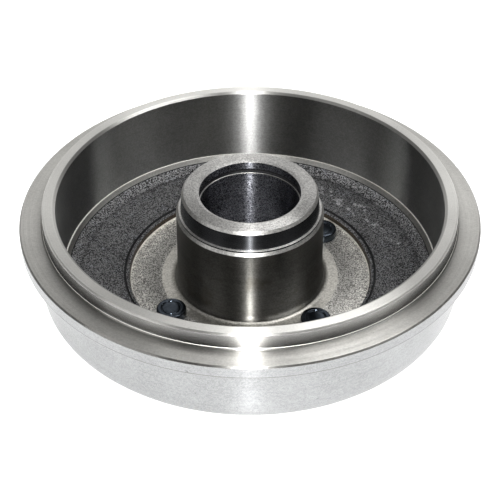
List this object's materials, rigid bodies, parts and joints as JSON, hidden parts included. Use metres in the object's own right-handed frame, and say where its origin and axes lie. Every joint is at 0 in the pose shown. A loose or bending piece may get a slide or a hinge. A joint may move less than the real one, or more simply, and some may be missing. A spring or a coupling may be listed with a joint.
{
  "type": "brake drum",
  "caption": "Open brake drum with an outer flange, a central bearing hub barrel and pressed-in wheel studs.",
  "frame": {"origin": "centre of the stud circle in the wheel mounting face", "axes": "+Z along the drum's axis towards its open end; +X and +Y square to it, the first stud 39.6 degrees from +X"},
  "size_m": [0.2418, 0.2418, 0.0979],
  "materials": {
    "turned_iron": "turned grey iron, dark as-cast skin where not machined",
    "stud_steel": "dark phosphated steel"
  },
  "bodies": {
    "root": {"drum_casting": "turned_iron", "wheel_stud_1": "stud_steel", "wheel_stud_2": "stud_steel", "wheel_stud_3": "stud_steel", "wheel_stud_4": "stud_steel"}
  },
  "joints": []
}
